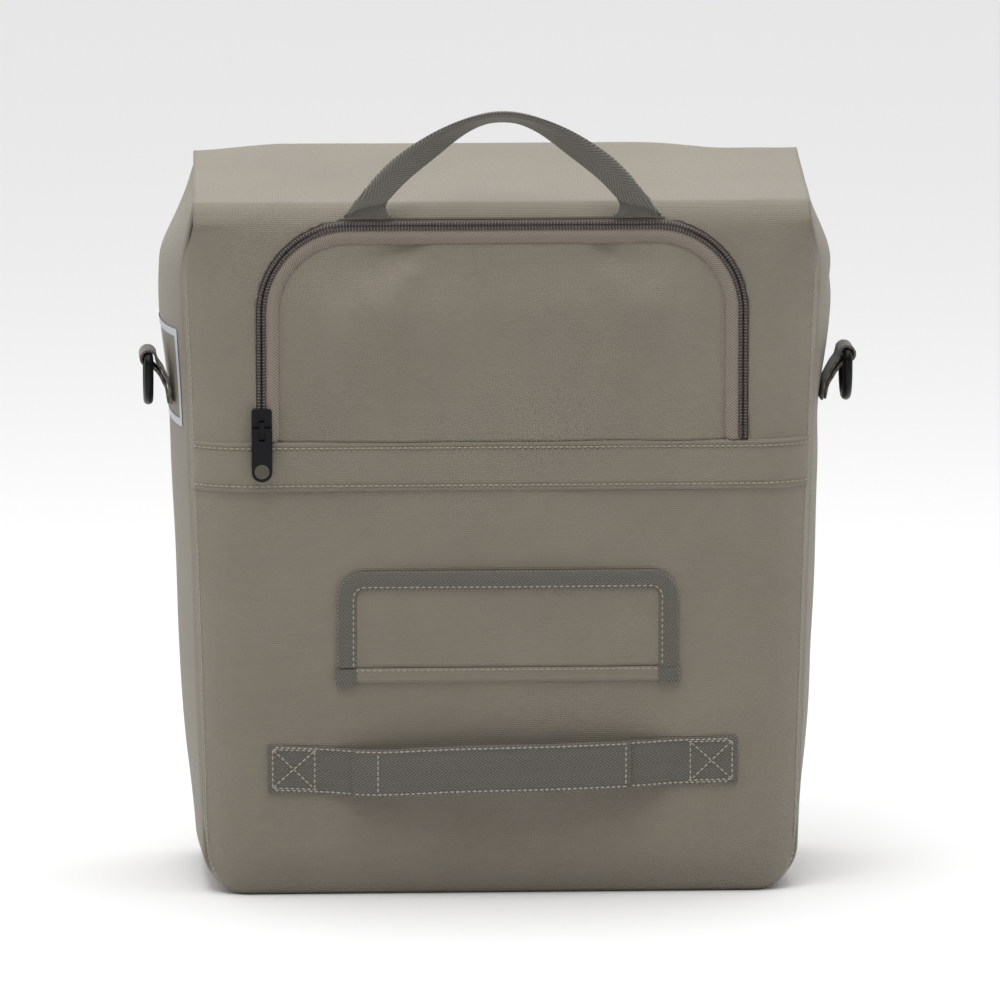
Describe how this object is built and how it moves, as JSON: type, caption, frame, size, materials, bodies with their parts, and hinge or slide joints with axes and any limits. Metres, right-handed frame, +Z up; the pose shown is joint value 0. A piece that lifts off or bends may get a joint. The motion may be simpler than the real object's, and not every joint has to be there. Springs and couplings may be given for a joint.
{
  "type": "bicycle pannier bag",
  "caption": "Soft pannier bag with flap top, carry handle, and sliding rack hooks hidden behind a zipped cover on its back.",
  "frame": {"origin": "centre of the flat base, on the surface it stands on", "axes": "+Z up, -Y out of the rack side, +X to the right as the rack side is seen"},
  "size_m": [0.3722, 0.1764, 0.415],
  "materials": {
    "coated_canvas": "matt coated woven polyester, taupe",
    "webbing": "twill webbing, taupe",
    "lining_cloth": "thin plain lining",
    "stiffener_sheet": "smooth polyethylene sheet",
    "rail_aluminium": "extruded, satin",
    "screw_steel": "zinc plated",
    "spring_steel": "drawn wire",
    "hook_plastic": "moulded, fine texture",
    "latch_plastic": "moulded, grey",
    "ring_plastic": "moulded, semi gloss black",
    "zip_metal": "gloss black lacquer",
    "zip_coil": "nylon coil on woven tape",
    "reflective_ink": "printed silver-grey reflective ink",
    "hook_and_loop": "hook-and-loop tape"
  },
  "bodies": {
    "bag": {"back_panel": "coated_canvas", "front_panel": "coated_canvas", "left_gusset": "coated_canvas", "right_gusset": "coated_canvas", "base_panel": "coated_canvas", "seam_band": "coated_canvas", "reflective_print": "reflective_ink", "back_board": "stiffener_sheet", "board_lining": "lining_cloth", "base_board": "stiffener_sheet", "rail_backing_plate": "rail_aluminium", "lower_backing_plate": "rail_aluminium", "hook_rail": "rail_aluminium", "lower_rail": "rail_aluminium", "rail_screws": "screw_steel", "lower_rail_screws": "screw_steel", "zip_outer_half": "zip_coil", "anchor_flap_hem": "coated_canvas", "grab_strap": "webbing", "grab_strap_cover": "webbing", "left_ring_tab": "webbing", "right_ring_tab": "webbing", "front_hook_pads": "hook_and_loop"},
    "flap": {"top_flap": "coated_canvas", "flap_loop_pads": "hook_and_loop"},
    "handle": {"carry_handle": "webbing"},
    "cover": {"zip_cover": "coated_canvas", "zip_cover_half": "zip_coil"},
    "slider": {"zip_slider": "zip_metal"},
    "puller": {"zip_puller": "zip_metal"},
    "small_flap": {"anchor_flap": "coated_canvas", "anchor_flap_binding": "webbing"},
    "ring_left": {"left_ring": "ring_plastic"},
    "ring_right": {"right_ring": "ring_plastic"},
    "hook_left": {"left_hook": "hook_plastic", "left_latch_pin": "screw_steel", "left_latch_spring": "spring_steel"},
    "hook_right": {"right_hook": "hook_plastic", "right_latch_pin": "screw_steel", "right_latch_spring": "spring_steel"},
    "latch_left": {"left_hook_latch": "latch_plastic"},
    "latch_right": {"right_hook_latch": "latch_plastic"},
    "stay_slide": {"lower_hook_slide": "hook_plastic"},
    "stay_hook": {"lower_hook": "hook_plastic"}
  },
  "joints": [
    {"name": "top_flap_hinge", "type": "hinge", "parent": "bag", "child": "flap", "pos_m": [0, -0.0745, 0.363], "axis": [1, 0, 0], "range_deg": [0, 88]},
    {"name": "carry_handle_hinge", "type": "hinge", "parent": "bag", "child": "handle", "pos_m": [0, -0.0806, 0.355], "axis": [1, 0, 0], "range_deg": [0, 110]},
    {"name": "zip_cover_hinge", "type": "hinge", "parent": "bag", "child": "cover", "pos_m": [0, -0.0802, 0.2383], "axis": [1, 0, 0], "range_deg": [0, 155]},
    {"name": "zip_slider_travel", "type": "slide", "parent": "bag", "child": "slider", "axis": [0, 0, 1], "range_m": [0, 0.05]},
    {"name": "zip_puller_swing", "type": "hinge", "parent": "slider", "child": "puller", "pos_m": [-0.1245, -0.0837, 0.2445], "axis": [1, 0, 0], "range_deg": [-170, 0]},
    {"name": "anchor_flap_hinge", "type": "hinge", "parent": "bag", "child": "small_flap", "pos_m": [0, -0.0814, 0.12], "axis": [1, 0, 0], "range_deg": [0, 135]},
    {"name": "left_ring_swing", "type": "hinge", "parent": "bag", "child": "ring_left", "pos_m": [-0.18177, -0.027, 0.277], "axis": [0, 1, 0], "range_deg": [0, 150]},
    {"name": "right_ring_swing", "type": "hinge", "parent": "bag", "child": "ring_right", "pos_m": [0.18177, -0.027, 0.277], "axis": [0, 1, 0], "range_deg": [-150, 0]},
    {"name": "left_hook_slide", "type": "slide", "parent": "bag", "child": "hook_left", "axis": [1, 0, 0], "range_m": [-0.02, 0.04]},
    {"name": "right_hook_slide", "type": "slide", "parent": "bag", "child": "hook_right", "axis": [1, 0, 0], "range_m": [-0.04, 0.02]},
    {"name": "left_latch_hinge", "type": "hinge", "parent": "hook_left", "child": "latch_left", "pos_m": [-0.075, -0.0523, 0.291], "axis": [1, 0, 0], "range_deg": [0, 65], "stiffness_Nm_per_rad": 0.01, "springref_deg": -22.92},
    {"name": "right_latch_hinge", "type": "hinge", "parent": "hook_right", "child": "latch_right", "pos_m": [0.075, -0.0523, 0.291], "axis": [1, 0, 0], "range_deg": [0, 65], "stiffness_Nm_per_rad": 0.01, "springref_deg": -22.92},
    {"name": "lower_hook_travel", "type": "slide", "parent": "bag", "child": "stay_slide", "axis": [1, 0, 0], "range_m": [-0.04, 0.04]},
    {"name": "lower_hook_swivel", "type": "hinge", "parent": "stay_slide", "child": "stay_hook", "pos_m": [0, -0.0585, 0.141], "axis": [0, 1, 0], "range_deg": [-90, 90]}
  ]
}
